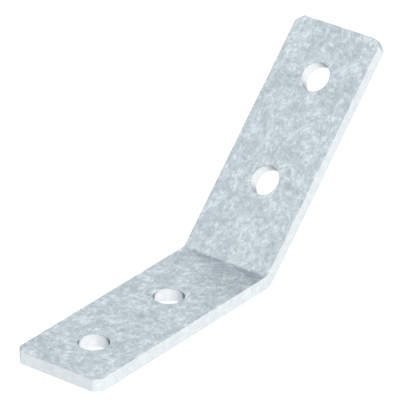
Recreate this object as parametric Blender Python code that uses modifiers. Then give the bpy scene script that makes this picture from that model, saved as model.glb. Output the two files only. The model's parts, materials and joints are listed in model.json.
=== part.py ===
"""Angle bracket: one flat steel bar, bent through 45 degrees, with two bolt holes in each leg.

The bar lies with its lower leg flat on the ground and its other leg rising towards +X.
X runs along the bracket, Y across the bar's width and Z up, in metres.
The origin is on the ground, under the middle of the bracket's length and width.
"""
import math

import bmesh
import bpy
from mathutils import Matrix, Vector

# Bar
BAR_WIDTH = 0.040
BAR_THICKNESS = 0.0054

# Bend, whose radius is measured on the inside face
BEND_ANGLE = math.radians(45.0)
INSIDE_BEND_RADIUS = 0.002

# Holes, measured along each leg from the inside corner of the bend
HOLE_DIAMETER = 0.012
FIRST_HOLE_DISTANCE = 0.035
HOLE_PITCH = 0.045
HOLES_PER_LEG = 2
END_MARGIN = 0.022

# Corners cut off at 45 degrees, and the rounding of every edge that turns by more than the sharp angle
CORNER_CHAMFER = 0.003
EDGE_RADIUS = 0.0003
SHARP_ANGLE = math.radians(40.0)

# Fineness of the round stretches
BEND_SEGMENTS = 8
HOLE_SEGMENTS = 48
EDGE_SEGMENTS = 2

# Sizes that follow from the ones above
LEG_LENGTH = FIRST_HOLE_DISTANCE + (HOLES_PER_LEG - 1) * HOLE_PITCH + END_MARGIN
BEND_SETBACK = INSIDE_BEND_RADIUS * math.tan(BEND_ANGLE / 2)
EDGE_SHORTENING = EDGE_RADIUS * (math.cos(BEND_ANGLE) + math.sin(BEND_ANGLE) - 1)
RISING_REACH = LEG_LENGTH * math.cos(BEND_ANGLE) + BAR_THICKNESS * math.sin(BEND_ANGLE) - EDGE_SHORTENING

# A hole's cutter is three times as long as the bar is thick, so it stands out of both faces
CUTTER_DEPTH = 3 * BAR_THICKNESS

# The inside corner is where the two legs' inside faces would meet without the bend's radius
INSIDE_CORNER = Vector(((LEG_LENGTH - RISING_REACH) / 2, 0.0, BAR_THICKNESS))

# Galvanised surface
ZINC_COLOUR = (0.56, 0.62, 0.66, 1.0)
ZINC_ROUGHNESS = 0.42
ZINC_METALLIC = 0.85


def clear_scene():
    for old in list(bpy.data.objects):
        bpy.data.objects.remove(old, do_unlink=True)


def new_collection(name):
    collection = bpy.data.collections.new(name)
    bpy.context.scene.collection.children.link(collection)
    return collection


def new_object(name, mesh, collection):
    made = bpy.data.objects.new(name, mesh)
    collection.objects.link(made)
    return made


def zinc_material():
    material = bpy.data.materials.new("galvanised_steel")
    material.use_nodes = True
    shader = material.node_tree.nodes["Principled BSDF"]
    shader.inputs["Base Color"].default_value = ZINC_COLOUR
    shader.inputs["Roughness"].default_value = ZINC_ROUGHNESS
    shader.inputs["Metallic"].default_value = ZINC_METALLIC
    material.diffuse_color = ZINC_COLOUR
    return material


def leg_frame(rise):
    """Frame of a leg: X from the inside corner along the leg, Z out of its inside face.

    The rise is the angle by which the leg's direction is turned up from +X.
    """
    along = Vector((math.cos(rise), 0.0, math.sin(rise)))
    out = Vector((0.0, 0.0, 1.0)) if along.x < 0 else Vector((-along.z, 0.0, along.x))
    across = out.cross(along)
    frame = Matrix((along, across, out)).transposed().to_4x4()
    frame.translation = INSIDE_CORNER
    return frame


def inside_profile():
    """Points down the inside face: lower leg's end, round the bend, rising leg's end."""
    centre = INSIDE_CORNER + Vector((-BEND_SETBACK, 0.0, INSIDE_BEND_RADIUS))
    points = [INSIDE_CORNER - Vector((LEG_LENGTH, 0.0, 0.0))]
    for step in range(BEND_SEGMENTS + 1):
        turned = BEND_ANGLE * step / BEND_SEGMENTS
        radial = Vector((math.sin(turned), 0.0, -math.cos(turned)))
        points.append(centre + INSIDE_BEND_RADIUS * radial)
    points.append(leg_frame(BEND_ANGLE) @ Vector((LEG_LENGTH, 0.0, 0.0)))
    return points


def bent_sheet():
    """The inside face as an open sheet: the profile drawn across the bar, its four corners cut."""
    sheet = bmesh.new()
    near_side = Vector((0.0, -BAR_WIDTH / 2, 0.0))
    line = [sheet.verts.new(point + near_side) for point in inside_profile()]
    edges = [sheet.edges.new(pair) for pair in zip(line, line[1:])]
    swept = bmesh.ops.extrude_edge_only(sheet, edges=edges)["geom"]
    far_line = [item for item in swept if isinstance(item, bmesh.types.BMVert)]
    bmesh.ops.translate(sheet, verts=far_line, vec=(0.0, BAR_WIDTH, 0.0))
    corners = [vert for vert in sheet.verts if len(vert.link_faces) == 1]
    bmesh.ops.bevel(sheet, geom=corners, offset=CORNER_CHAMFER, offset_type="OFFSET",
                    segments=1, affect="VERTICES")
    bmesh.ops.recalc_face_normals(sheet, faces=sheet.faces)
    if sum(face.normal.z * face.calc_area() for face in sheet.faces) < 0:
        bmesh.ops.reverse_faces(sheet, faces=sheet.faces)
    mesh = bpy.data.meshes.new("bent_plate")
    sheet.to_mesh(mesh)
    sheet.free()
    mesh.shade_smooth()
    return mesh


def hole_cutter(name, frame, distance, collection):
    """A cylinder through the bar, square to a leg's face, at a distance along that leg."""
    drill = bmesh.new()
    bmesh.ops.create_cone(drill, cap_ends=True, segments=HOLE_SEGMENTS, depth=CUTTER_DEPTH,
                          radius1=HOLE_DIAMETER / 2, radius2=HOLE_DIAMETER / 2)
    mesh = bpy.data.meshes.new(name)
    drill.to_mesh(mesh)
    drill.free()
    mesh.shade_smooth()
    cutter = new_object(name, mesh, collection)
    cutter.matrix_world = frame @ Matrix.Translation((distance, 0.0, -BAR_THICKNESS / 2))
    cutter.hide_render = True
    cutter.display_type = "WIRE"


def add_hole_cutters(collection):
    legs = {"lower": leg_frame(math.pi), "rising": leg_frame(BEND_ANGLE)}
    for leg, frame in legs.items():
        for number in range(HOLES_PER_LEG):
            distance = FIRST_HOLE_DISTANCE + number * HOLE_PITCH
            hole_cutter(f"{leg}_hole_{number + 1}", frame, distance, collection)


def thicken(plate):
    """Thickness, added away from the inside face so that the bend stays concentric."""
    solidify = plate.modifiers.new("thickness", "SOLIDIFY")
    solidify.thickness = BAR_THICKNESS
    solidify.offset = -1.0
    solidify.use_even_offset = True


def drill_holes(plate, cutters):
    drilling = plate.modifiers.new("bolt holes", "BOOLEAN")
    drilling.operation = "DIFFERENCE"
    drilling.solver = "EXACT"
    drilling.operand_type = "COLLECTION"
    drilling.collection = cutters


def round_edges(plate):
    """The soft edges that a sheared and dipped bar has, round its outline and its holes."""
    bevel = plate.modifiers.new("soft edges", "BEVEL")
    bevel.width = EDGE_RADIUS
    bevel.segments = EDGE_SEGMENTS
    bevel.limit_method = "ANGLE"
    bevel.angle_limit = SHARP_ANGLE
    bevel.harden_normals = True


def main():
    clear_scene()
    bracket = new_collection("angle_bracket")
    cutters = new_collection("cutters")
    plate = new_object("bent_plate", bent_sheet(), bracket)
    plate.data.materials.append(zinc_material())
    add_hole_cutters(cutters)
    thicken(plate)
    drill_holes(plate, cutters)
    round_edges(plate)


main()
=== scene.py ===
import json
import math

import bmesh
import bpy
from mathutils import Matrix, Vector, noise

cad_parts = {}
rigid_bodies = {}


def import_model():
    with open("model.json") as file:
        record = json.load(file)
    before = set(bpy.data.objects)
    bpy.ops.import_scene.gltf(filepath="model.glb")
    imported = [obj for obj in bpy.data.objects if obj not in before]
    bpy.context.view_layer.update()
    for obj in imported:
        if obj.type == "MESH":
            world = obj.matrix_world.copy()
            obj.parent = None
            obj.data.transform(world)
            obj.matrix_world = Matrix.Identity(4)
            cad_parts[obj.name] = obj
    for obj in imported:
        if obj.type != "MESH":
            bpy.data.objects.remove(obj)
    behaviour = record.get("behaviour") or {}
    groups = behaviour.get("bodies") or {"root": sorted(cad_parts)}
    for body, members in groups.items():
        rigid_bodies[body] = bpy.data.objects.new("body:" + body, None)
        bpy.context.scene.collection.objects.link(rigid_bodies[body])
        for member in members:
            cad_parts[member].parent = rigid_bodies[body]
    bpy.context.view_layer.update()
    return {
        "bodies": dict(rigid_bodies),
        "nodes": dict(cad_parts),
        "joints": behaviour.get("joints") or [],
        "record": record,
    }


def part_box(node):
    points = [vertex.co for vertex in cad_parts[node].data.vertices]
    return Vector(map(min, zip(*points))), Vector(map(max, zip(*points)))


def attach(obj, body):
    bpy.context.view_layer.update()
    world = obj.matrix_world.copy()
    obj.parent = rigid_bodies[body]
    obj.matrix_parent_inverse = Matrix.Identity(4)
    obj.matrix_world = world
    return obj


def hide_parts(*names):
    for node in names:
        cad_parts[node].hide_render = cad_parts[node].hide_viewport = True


# The angle bracket lies on a white table in soft studio light, seen from its front left.
# Lengths are in metres, in the bracket's own frame: +X towards its rising leg, +Y across the bar, +Z up.

# Camera, at the photograph's viewing angle
CAMERA_AZIMUTH = math.radians(-52.14)
CAMERA_ELEVATION = math.radians(27.62)
CAMERA_DISTANCE = 1.85
CAMERA_TARGET = Vector((0.0157, 0.0143, 0.0261))
CAMERA_REACH = 10 * CAMERA_DISTANCE
CAMERA_LENS_MM = 435.5
SENSOR_WIDTH_MM = 36.0

# Table and surroundings: how bright the camera sees them, how bright they are in reflections,
# and how much light they give to dull surfaces, where 1 is white
WHITE = (1.0, 1.0, 1.0, 1.0)
TABLE_SIZE = 6.0
TABLE_COLOUR = (0.30, 0.30, 0.30, 1.0)
TABLE_SEEN = 0.88
TABLE_REFLECTED = 1.0
TABLE_LIGHT = 0.1
SURROUNDINGS_SEEN = 1.0
SURROUNDINGS_REFLECTED = 0.75
SURROUNDINGS_LIGHT = 0.1

# Soft boxes: each one's direction from the bracket and its power in watts
SOFT_BOX_DISTANCE = 1.5
SOFT_BOX_SIZE = 1.8
SOFT_BOXES = {
    "key_light": ((-0.50, -0.87, 0.60), 5.0),
    "front_light": ((-0.15, -0.95, 0.45), 5.0),
    "right_light": ((1.00, -0.10, 0.45), 8.5),
    "low_right_light": ((0.80, -0.60, 0.20), 8.0),
    "top_light": ((-0.46, 0.30, 0.85), 8.8),
    "back_light": ((0.70, 0.54, 0.50), 5.5),
}

# The bar as the CAD model has it, with distances along each leg from the inside corner of the bend
BAR_THICKNESS = 0.0054
BEND_ANGLE = math.radians(45.0)
INSIDE_BEND_RADIUS = 0.002
HOLE_DIAMETER = 0.012
FIRST_HOLE_DISTANCE = 0.035
HOLE_PITCH = 0.045
HOLES_PER_LEG = 2
END_MARGIN = 0.022
CORNER_CHAMFER = 0.003
EDGE_RADIUS = 0.0003
SHARP_ANGLE = math.radians(40.0)
LEG_LENGTH = FIRST_HOLE_DISTANCE + (HOLES_PER_LEG - 1) * HOLE_PITCH + END_MARGIN
CUTTER_DEPTH = 3 * BAR_THICKNESS

# Direction square to the plane that halves the bend, towards the rising leg
PAST_BEND = Vector((math.cos(BEND_ANGLE / 2), 0.0, math.sin(BEND_ANGLE / 2)))

# Fineness of the bar's mesh
BEND_SEGMENTS = 20
HOLE_SEGMENTS = 96
EDGE_SEGMENTS = 4
CELL_SIZE = 0.00125
CELL_SNAP = 0.00002
FLAT_FACE_WEIGHT = 80

# Unevenness of the dipped zinc
WAVE_SIZE = 0.009
WAVE_HEIGHT = 0.00003

# Zinc on the flat faces: colours of its dark, middling and frosty parts, and their gloss
ZINC_DARK = (0.385, 0.447, 0.489, 1.0)
ZINC_MIDDLE = (0.535, 0.605, 0.65, 1.0)
ZINC_FROSTY = (0.785, 0.855, 0.89, 1.0)
ZINC_METALLIC = 0.5
ZINC_SMOOTHEST = 0.28
ZINC_ROUGHEST = 0.42

# Tint of the gloss at grazing angles, on all of the zinc
GRAZING_TINT = (0.40, 0.43, 0.46, 1.0)

# Paler, more metallic zinc on the cut edges; their paleness is painted light, as the sides catch more
# light.
# Here and below, a kind of zinc or a painted shade starts and is full where the surface faces its way
# this much, and 1 is squarely.
EDGE_DULL = (0.70, 0.75, 0.77, 1.0)
EDGE_BRIGHT = (0.83, 0.88, 0.895, 1.0)
EDGE_METALLIC = 0.9
EDGE_ROUGHNESS = 0.3
EDGE_STARTS = 0.2
EDGE_FULL = 0.85

# Smoother zinc in the holes, paler with painted light, and painted shade where their walls face the bar's
# far side
HOLE_DULL = (0.77, 0.795, 0.81, 1.0)
HOLE_BRIGHT = (0.86, 0.885, 0.90, 1.0)
HOLE_ROUGHNESS = 0.14
FAR_PAINTED_SHADE = (0.66, 0.68, 0.705)
FAR_STARTS = -0.5
FAR_FULL = 0.45

# Painted shade on the cuts that face along the bar: its ends and two sides of each hole
ALONG_PAINTED_SHADE = (0.87, 0.878, 0.895)
ALONG_STARTS = 0.75
ALONG_FULL = 0.95

# Painted shade on the cuts that face past the rising leg, such as its end and the cut corners there,
# where the lamps are strongest
PAST_PAINTED_SHADE = (0.82, 0.825, 0.835)
PAST_STARTS = 0.2
PAST_FULL = 0.5

# The zinc's pattern: each noise is about 0.5 in the middle, and a contrast says how much it pales the zinc.
# Its layers and its roughness say how fine the detail is.
MIDDLE = 0.5
PLAIN_LAYERS = 2.0
PLAIN_ROUGHNESS = 0.5

# Frost, the strongest of the three
FROST_SIZE = 0.0034
FROST_LAYERS = 5.0
FROST_ROUGHNESS = 0.85
FROST_CONTRAST = 2.7
FROST_HEIGHT = 0.00002

# Curled wisps, which lie three ways, in radians: one way passes into the next between two cloud levels
WISP_WIDTH = 0.0011
WISP_LENGTH = 0.003
WISP_ROUGHNESS = 0.6
WISP_CONTRAST = 1.2
WISP_WAYS = (0.4, 1.5, 2.5)
WISP_BORDERS = ((0.42, 0.48), (0.54, 0.60))
CURL_SIZE = 0.004
CURL_LAYERS = 1.0
CURL_AMOUNT = 0.002

# Wide clouds, and the finest grain, which shows in the gloss alone
CLOUD_SIZE = 0.010
CLOUD_CONTRAST = 1.0
GRAIN_SIZE = 0.0003
GRAIN_HEIGHT = 0.000004

# The Mix node's sockets for each kind of data: the first and second input, and the result
MIX_SOCKETS = {"VECTOR": (4, 5, 1), "RGBA": (6, 7, 2)}


def add_node(tree, kind, inputs=None, **settings):
    """A shader node with its settings, and inputs fed by other nodes' outputs or by plain values."""
    node = tree.nodes.new(kind)
    for name, value in settings.items():
        setattr(node, name, value)
    for name, value in (inputs or {}).items():
        if isinstance(value, bpy.types.NodeSocket):
            tree.links.new(value, node.inputs[name])
        else:
            node.inputs[name].default_value = value
    return node


def calculate(tree, operation, *numbers):
    inputs = dict(enumerate(numbers))
    return add_node(tree, "ShaderNodeMath", inputs, operation=operation).outputs["Value"]


def calculate_vector(tree, operation, *vectors):
    inputs = dict(enumerate(vectors))
    return add_node(tree, "ShaderNodeVectorMath", inputs, operation=operation).outputs["Vector"]


def mix(tree, kind, factor, first, second):
    """Vectors or colours, from first where the factor is 0 to second where it is 1."""
    first_socket, second_socket, result = MIX_SOCKETS[kind]
    inputs = {0: factor, first_socket: first, second_socket: second}
    return add_node(tree, "ShaderNodeMix", inputs, data_type=kind).outputs[result]


def blend(tree, factor, first, second):
    """Numbers, from first where the factor is 0 to second where it is 1."""
    inputs = {"Value": factor, "To Min": first, "To Max": second}
    return add_node(tree, "ShaderNodeMapRange", inputs).outputs["Result"]


def soft_step(tree, value, low, high):
    """0 below low and 1 above high."""
    inputs = {"Value": value, "From Min": low, "From Max": high}
    return add_node(tree, "ShaderNodeMapRange", inputs, interpolation_type="SMOOTHSTEP").outputs["Result"]


def noted(tree, name):
    """A number that the mesh holds at each point."""
    return add_node(tree, "ShaderNodeAttribute", attribute_name=name).outputs["Fac"]


def layered_noise(tree, place, size, layers=PLAIN_LAYERS, roughness=PLAIN_ROUGHNESS):
    return add_node(tree, "ShaderNodeTexNoise",
                    {"Vector": place, "Scale": 1 / size, "Detail": layers, "Roughness": roughness})


def empty_tree(owner):
    owner.use_nodes = True
    owner.node_tree.nodes.clear()
    return owner.node_tree


def new_object(name, data):
    made = bpy.data.objects.new(name, data)
    bpy.context.scene.collection.objects.link(made)
    return made


def place_camera():
    camera = new_object("camera", bpy.data.cameras.new("camera"))
    camera.data.sensor_width = SENSOR_WIDTH_MM
    camera.data.lens = CAMERA_LENS_MM
    camera.data.clip_end = CAMERA_REACH
    turn, tilt = CAMERA_AZIMUTH, CAMERA_ELEVATION
    right = Vector((math.cos(turn), math.sin(turn), 0.0))
    back = Vector((math.sin(turn) * math.cos(tilt), -math.cos(turn) * math.cos(tilt), math.sin(tilt)))
    up = back.cross(right)
    camera.matrix_world = Matrix((right, up, back)).transposed().to_4x4()
    camera.location = CAMERA_TARGET + CAMERA_DISTANCE * back
    bpy.context.scene.camera = camera


def add_soft_box(name, direction, power):
    """A square lamp that faces the bracket."""
    lamp = bpy.data.lights.new(name, "AREA")
    lamp.shape = "SQUARE"
    lamp.size = SOFT_BOX_SIZE
    lamp.energy = power
    soft_box = new_object(name, lamp)
    outward = Vector(direction).normalized()
    soft_box.location = SOFT_BOX_DISTANCE * outward
    soft_box.rotation_euler = outward.to_track_quat("Z", "Y").to_euler()
    soft_box.visible_camera = False


def light_for(tree, seen, reflected, light):
    """A strength for what the camera sees, for reflections and glass, and for light on dull surfaces."""
    path = add_node(tree, "ShaderNodeLightPath").outputs
    mirrored = calculate(tree, "MAXIMUM", path["Is Glossy Ray"], path["Is Transmission Ray"])
    return blend(tree, path["Is Camera Ray"], blend(tree, mirrored, light, reflected), seen)


def set_surroundings():
    """White all round for the camera, and a little darker in reflections."""
    world = bpy.data.worlds.new("surroundings")
    bpy.context.scene.world = world
    tree = empty_tree(world)
    strength = light_for(tree, SURROUNDINGS_SEEN, SURROUNDINGS_REFLECTED, SURROUNDINGS_LIGHT)
    glow = add_node(tree, "ShaderNodeBackground", {"Color": WHITE, "Strength": strength})
    add_node(tree, "ShaderNodeOutputWorld", {"Surface": glow.outputs["Background"]})


def table_material():
    """White where light reaches it, and a little darker in the bracket's soft shadow."""
    material = bpy.data.materials.new("table")
    tree = empty_tree(material)
    strength = light_for(tree, TABLE_SEEN, TABLE_REFLECTED, TABLE_LIGHT)
    glow = add_node(tree, "ShaderNodeEmission", {"Color": WHITE, "Strength": strength})
    board = add_node(tree, "ShaderNodeBsdfDiffuse", {"Color": TABLE_COLOUR})
    both = add_node(tree, "ShaderNodeAddShader", {0: glow.outputs["Emission"], 1: board.outputs["BSDF"]})
    add_node(tree, "ShaderNodeOutputMaterial", {"Surface": both.outputs["Shader"]})
    return material


def add_table(height):
    top = bmesh.new()
    bmesh.ops.create_grid(top, x_segments=1, y_segments=1, size=TABLE_SIZE / 2)
    mesh = bpy.data.meshes.new("table")
    top.to_mesh(mesh)
    top.free()
    mesh.materials.append(table_material())
    table = new_object("table", mesh)
    table.location.z = height


def leg_frame(corner, rise):
    """Frame of a leg: X from the inside corner along the leg, Z out of its inside face.

    The rise is the angle by which the leg's direction is turned up from +X.
    """
    along = Vector((math.cos(rise), 0.0, math.sin(rise)))
    out = Vector((0.0, 0.0, 1.0)) if along.x < 0 else Vector((-along.z, 0.0, along.x))
    frame = Matrix((along, out.cross(along), out)).transposed().to_4x4()
    frame.translation = corner
    return frame


def leg_frames(corner):
    return [leg_frame(corner, math.pi), leg_frame(corner, BEND_ANGLE)]


def inside_profile(corner):
    """Points down the inside face: lower leg's end, round the bend, rising leg's end."""
    setback = INSIDE_BEND_RADIUS * math.tan(BEND_ANGLE / 2)
    centre = corner + Vector((-setback, 0.0, INSIDE_BEND_RADIUS))
    lower, rising = leg_frames(corner)
    points = [lower @ Vector((LEG_LENGTH, 0.0, 0.0))]
    for step in range(BEND_SEGMENTS + 1):
        turned = BEND_ANGLE * step / BEND_SEGMENTS
        points.append(centre + INSIDE_BEND_RADIUS * Vector((math.sin(turned), 0.0, -math.cos(turned))))
    points.append(rising @ Vector((LEG_LENGTH, 0.0, 0.0)))
    return points


def bent_sheet(corner, width):
    """The bar's inside face as an open sheet, its four corners cut."""
    sheet = bmesh.new()
    near_side = Vector((0.0, -width / 2, 0.0))
    line = [sheet.verts.new(point + near_side) for point in inside_profile(corner)]
    edges = [sheet.edges.new(pair) for pair in zip(line, line[1:])]
    swept = bmesh.ops.extrude_edge_only(sheet, edges=edges)["geom"]
    far_line = [item for item in swept if isinstance(item, bmesh.types.BMVert)]
    bmesh.ops.translate(sheet, verts=far_line, vec=(0.0, width, 0.0))
    corners = [vert for vert in sheet.verts if len(vert.link_faces) == 1]
    bmesh.ops.bevel(sheet, geom=corners, offset=CORNER_CHAMFER, offset_type="OFFSET",
                    segments=1, affect="VERTICES")
    bmesh.ops.recalc_face_normals(sheet, faces=sheet.faces)
    if sum(face.normal.z * face.calc_area() for face in sheet.faces) < 0:
        bmesh.ops.reverse_faces(sheet, faces=sheet.faces)
    mesh = bpy.data.meshes.new("bent_sheet")
    sheet.to_mesh(mesh)
    sheet.free()
    return mesh


def hole_places(corner):
    """A frame in the middle of each bolt hole, with its Z along the hole's axis."""
    distances = [FIRST_HOLE_DISTANCE + number * HOLE_PITCH for number in range(HOLES_PER_LEG)]
    return [frame @ Matrix.Translation((distance, 0.0, -BAR_THICKNESS / 2))
            for frame in leg_frames(corner) for distance in distances]


def hole_cutters(corner):
    """All the bolt holes as one mesh of cylinders."""
    drills = bmesh.new()
    for place in hole_places(corner):
        bmesh.ops.create_cone(drills, cap_ends=True, segments=HOLE_SEGMENTS, depth=CUTTER_DEPTH,
                              radius1=HOLE_DIAMETER / 2, radius2=HOLE_DIAMETER / 2, matrix=place)
    mesh = bpy.data.meshes.new("hole_cutters")
    drills.to_mesh(mesh)
    drills.free()
    return new_object("hole_cutters", mesh)


def worked_bar(corner, width):
    """The sheet thickened, drilled and softened at its edges, as one plain mesh."""
    sheet = new_object("bent_sheet", bent_sheet(corner, width))
    cutters = hole_cutters(corner)
    thickness = sheet.modifiers.new("thickness", "SOLIDIFY")
    thickness.thickness = BAR_THICKNESS
    thickness.offset = -1.0
    thickness.use_even_offset = True
    drilling = sheet.modifiers.new("bolt holes", "BOOLEAN")
    drilling.operation = "DIFFERENCE"
    drilling.solver = "EXACT"
    drilling.object = cutters
    softening = sheet.modifiers.new("soft edges", "BEVEL")
    softening.width = EDGE_RADIUS
    softening.segments = EDGE_SEGMENTS
    softening.limit_method = "ANGLE"
    softening.angle_limit = SHARP_ANGLE
    depsgraph = bpy.context.evaluated_depsgraph_get()
    mesh = bpy.data.meshes.new_from_object(sheet.evaluated_get(depsgraph))
    bpy.data.objects.remove(sheet)
    bpy.data.objects.remove(cutters)
    return mesh


def cutting_planes(corner, width):
    """Planes across the bar and along it, a cell apart, each as a point and a normal."""
    across = Vector((0.0, 1.0, 0.0))
    for step in range(1, round(width / CELL_SIZE)):
        yield (step * CELL_SIZE - width / 2) * across, across
    for frame in leg_frames(corner):
        along = frame.to_3x3() @ Vector((1.0, 0.0, 0.0))
        for step in range(1, round(LEG_LENGTH / CELL_SIZE)):
            yield corner + step * CELL_SIZE * along, along


def note_facing(bar, corner):
    """Notes which way the surface faces at each point, and if the point is in a hole.

    The cut edge is 0 on a leg's faces and 1 square to them, and facing along is 1 towards its ends.
    Facing past goes from -1 towards -X to 1 towards +X, and facing far the same along Y.
    """
    cut_edge = bar.verts.layers.float.new("cut_edge")
    faces_along = bar.verts.layers.float.new("faces_along")
    faces_past = bar.verts.layers.float.new("faces_past")
    faces_far = bar.verts.layers.float.new("faces_far")
    in_hole = bar.verts.layers.float.new("in_hole")
    turns = [frame.to_3x3() for frame in leg_frames(corner)]
    to_holes = [place.inverted() for place in hole_places(corner)]
    for vert in bar.verts:
        rising = (vert.co - corner).dot(PAST_BEND) > 0
        along, _, out = turns[rising].transposed() @ vert.normal
        vert[cut_edge] = 1 - abs(out)
        vert[faces_along] = abs(along)
        vert[faces_past] = vert.normal.x
        vert[faces_far] = vert.normal.y
        from_axis = min((to_hole @ vert.co).xy.length for to_hole in to_holes)
        vert[in_hole] = float(from_axis < (HOLE_DIAMETER + EDGE_RADIUS) / 2)


def uneven_zinc(mesh, corner, width):
    """Cuts the faces into small cells and lifts them by a few hundredths of a millimetre."""
    bar = bmesh.new()
    bar.from_mesh(mesh)
    for point, normal in cutting_planes(corner, width):
        everything = bar.verts[:] + bar.edges[:] + bar.faces[:]
        bmesh.ops.bisect_plane(bar, geom=everything, dist=CELL_SNAP, plane_co=point, plane_no=normal)
    bar.normal_update()
    note_facing(bar, corner)
    for vert in bar.verts:
        vert.co += WAVE_HEIGHT * noise.noise(vert.co / WAVE_SIZE) * vert.normal
    bar.to_mesh(mesh)
    bar.free()


def add_bar(corner, width):
    mesh = worked_bar(corner, width)
    uneven_zinc(mesh, corner, width)
    mesh.shade_smooth()
    mesh.materials.clear()
    mesh.materials.append(galvanised_steel(corner))
    bar = new_object("galvanised_bar", mesh)
    flats = bar.modifiers.new("flat faces stay flat", "WEIGHTED_NORMAL")
    flats.weight = FLAT_FACE_WEIGHT
    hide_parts("bent_plate")
    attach(bar, "root")


def flat_pattern(tree, corner):
    """Coordinates on the bar as if it were unbent: along it, across it, and through its thickness."""
    place = add_node(tree, "ShaderNodeTexCoord").outputs["Object"]
    from_corner = calculate_vector(tree, "SUBTRACT", place, corner)
    unbent = add_node(tree, "ShaderNodeVectorRotate",
                      {"Vector": from_corner, "Axis": (0.0, 1.0, 0.0), "Angle": BEND_ANGLE},
                      rotation_type="AXIS_ANGLE").outputs["Vector"]
    distance = add_node(tree, "ShaderNodeVectorMath", {0: from_corner, 1: PAST_BEND},
                        operation="DOT_PRODUCT").outputs["Value"]
    rising = calculate(tree, "GREATER_THAN", distance, 0.0)
    return mix(tree, "VECTOR", rising, from_corner, unbent)


def shifted(tree, place, size, amount):
    """The place moved about by a soft noise, so that a pattern read there is curled."""
    swirl = layered_noise(tree, place, size, CURL_LAYERS).outputs["Color"]
    offset = calculate_vector(tree, "SUBTRACT", swirl, (MIDDLE,) * 3)
    offset = calculate_vector(tree, "MULTIPLY", offset, (amount,) * 3)
    return calculate_vector(tree, "ADD", place, offset)


def wisps_along(tree, place, way):
    turned = add_node(tree, "ShaderNodeVectorRotate",
                      {"Vector": place, "Angle": way}, rotation_type="Z_AXIS").outputs["Vector"]
    drawn_out = calculate_vector(tree, "MULTIPLY", turned,
                                 (1 / WISP_WIDTH, 1 / WISP_LENGTH, 1 / WISP_WIDTH))
    return layered_noise(tree, drawn_out, size=1.0, roughness=WISP_ROUGHNESS).outputs["Fac"]


def frost_wisps(tree, place, clouds):
    """Pale curved wisps that lie another way from cloud to cloud."""
    wisps, *others = [wisps_along(tree, place, way) for way in WISP_WAYS]
    for other, (low, high) in zip(others, WISP_BORDERS):
        wisps = blend(tree, soft_step(tree, clouds, low, high), wisps, other)
    return wisps


def zinc_shade(tree, place):
    """How pale the zinc is, mostly between 0 and 1: frost, its wisps and wide clouds."""
    curled = shifted(tree, place, CURL_SIZE, CURL_AMOUNT)
    frost = layered_noise(tree, curled, FROST_SIZE, FROST_LAYERS, FROST_ROUGHNESS).outputs["Fac"]
    clouds = layered_noise(tree, place, CLOUD_SIZE).outputs["Fac"]
    wisps = frost_wisps(tree, curled, clouds)
    start = MIDDLE * (1 - FROST_CONTRAST - WISP_CONTRAST - CLOUD_CONTRAST)
    shade = calculate(tree, "MULTIPLY_ADD", frost, FROST_CONTRAST, start)
    shade = calculate(tree, "MULTIPLY_ADD", wisps, WISP_CONTRAST, shade)
    return calculate(tree, "MULTIPLY_ADD", clouds, CLOUD_CONTRAST, shade)


def zinc_relief(tree, place, shade):
    """The frost's own faint relief over the fine grain of the zinc."""
    grain = layered_noise(tree, place, GRAIN_SIZE).outputs["Fac"]
    fine = add_node(tree, "ShaderNodeBump", {"Strength": 1.0, "Distance": GRAIN_HEIGHT, "Height": grain})
    coarse = add_node(tree, "ShaderNodeBump",
                      {"Strength": 1.0, "Distance": FROST_HEIGHT, "Height": shade,
                       "Normal": fine.outputs["Normal"]})
    return coarse.outputs["Normal"]


def face_colour(tree, shade):
    colour = add_node(tree, "ShaderNodeValToRGB", {"Fac": shade})
    ramp = colour.color_ramp.elements
    ramp[0].color = ZINC_DARK
    ramp[1].color = ZINC_FROSTY
    ramp.new(MIDDLE).color = ZINC_MIDDLE
    return colour.outputs["Color"]


def with_painted_shade(tree, amount, colour, shade):
    """The colour with painted shade, multiplied by the shade where the amount is 1."""
    return mix(tree, "RGBA", amount, colour, calculate_vector(tree, "MULTIPLY", colour, shade))


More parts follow.
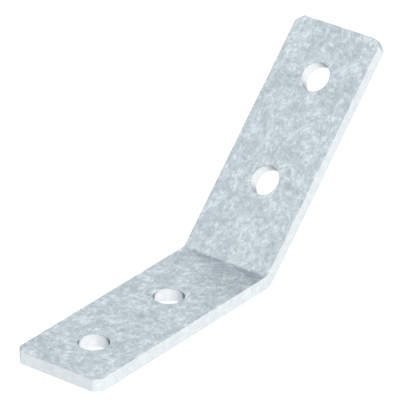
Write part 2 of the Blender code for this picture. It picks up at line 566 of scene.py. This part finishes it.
def edge_zinc_with_painted_light(tree, shade):
    """Colour and roughness of the cut edges' and holes' zinc, with painted light and shade."""
    in_hole = noted(tree, "in_hole")
    along = soft_step(tree, noted(tree, "faces_along"), ALONG_STARTS, ALONG_FULL)
    past = soft_step(tree, noted(tree, "faces_past"), PAST_STARTS, PAST_FULL)
    far = soft_step(tree, noted(tree, "faces_far"), FAR_STARTS, FAR_FULL)
    # Edge zinc, paler as painted light
    edge = mix(tree, "RGBA", shade, EDGE_DULL, EDGE_BRIGHT)
    # Hole zinc, paler as painted light, with painted shade on walls that face the far side
    hole = with_painted_shade(tree, far, mix(tree, "RGBA", shade, HOLE_DULL, HOLE_BRIGHT), FAR_PAINTED_SHADE)
    colour = mix(tree, "RGBA", in_hole, edge, hole)
    # Painted shade on cuts that face past the rising leg and along the bar
    colour = with_painted_shade(tree, past, colour, PAST_PAINTED_SHADE)
    colour = with_painted_shade(tree, along, colour, ALONG_PAINTED_SHADE)
    return colour, blend(tree, in_hole, EDGE_ROUGHNESS, HOLE_ROUGHNESS)


def galvanised_steel(corner):
    """Dipped zinc, patterned as on the unbent bar: frosty faces, and cuts with painted light and shade."""
    material = bpy.data.materials.new("galvanised_steel")
    tree = empty_tree(material)
    place = flat_pattern(tree, corner)
    shade = zinc_shade(tree, place)
    edge = soft_step(tree, noted(tree, "cut_edge"), EDGE_STARTS, EDGE_FULL)
    edge_colour_with_painted_light, edge_roughness = edge_zinc_with_painted_light(tree, shade)
    face_roughness = blend(tree, shade, ZINC_SMOOTHEST, ZINC_ROUGHEST)
    shader = add_node(tree, "ShaderNodeBsdfPrincipled",
                      {"Base Color": mix(tree, "RGBA", edge, face_colour(tree, shade), edge_colour_with_painted_light),
                       "Metallic": blend(tree, edge, ZINC_METALLIC, EDGE_METALLIC),
                       "Roughness": blend(tree, edge, face_roughness, edge_roughness),
                       "Specular Tint": GRAZING_TINT,
                       "Normal": zinc_relief(tree, place, shade)})
    add_node(tree, "ShaderNodeOutputMaterial", {"Surface": shader.outputs["BSDF"]})
    return material


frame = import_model()
lowest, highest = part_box("bent_plate")
inside_corner = Vector((lowest.x + LEG_LENGTH, 0.0, lowest.z + BAR_THICKNESS))
bpy.context.scene.view_settings.view_transform = "Standard"
place_camera()
set_surroundings()
add_table(lowest.z - WAVE_HEIGHT)
for box_name, (box_direction, box_power) in SOFT_BOXES.items():
    add_soft_box(box_name, box_direction, box_power)
add_bar(inside_corner, highest.y - lowest.y)
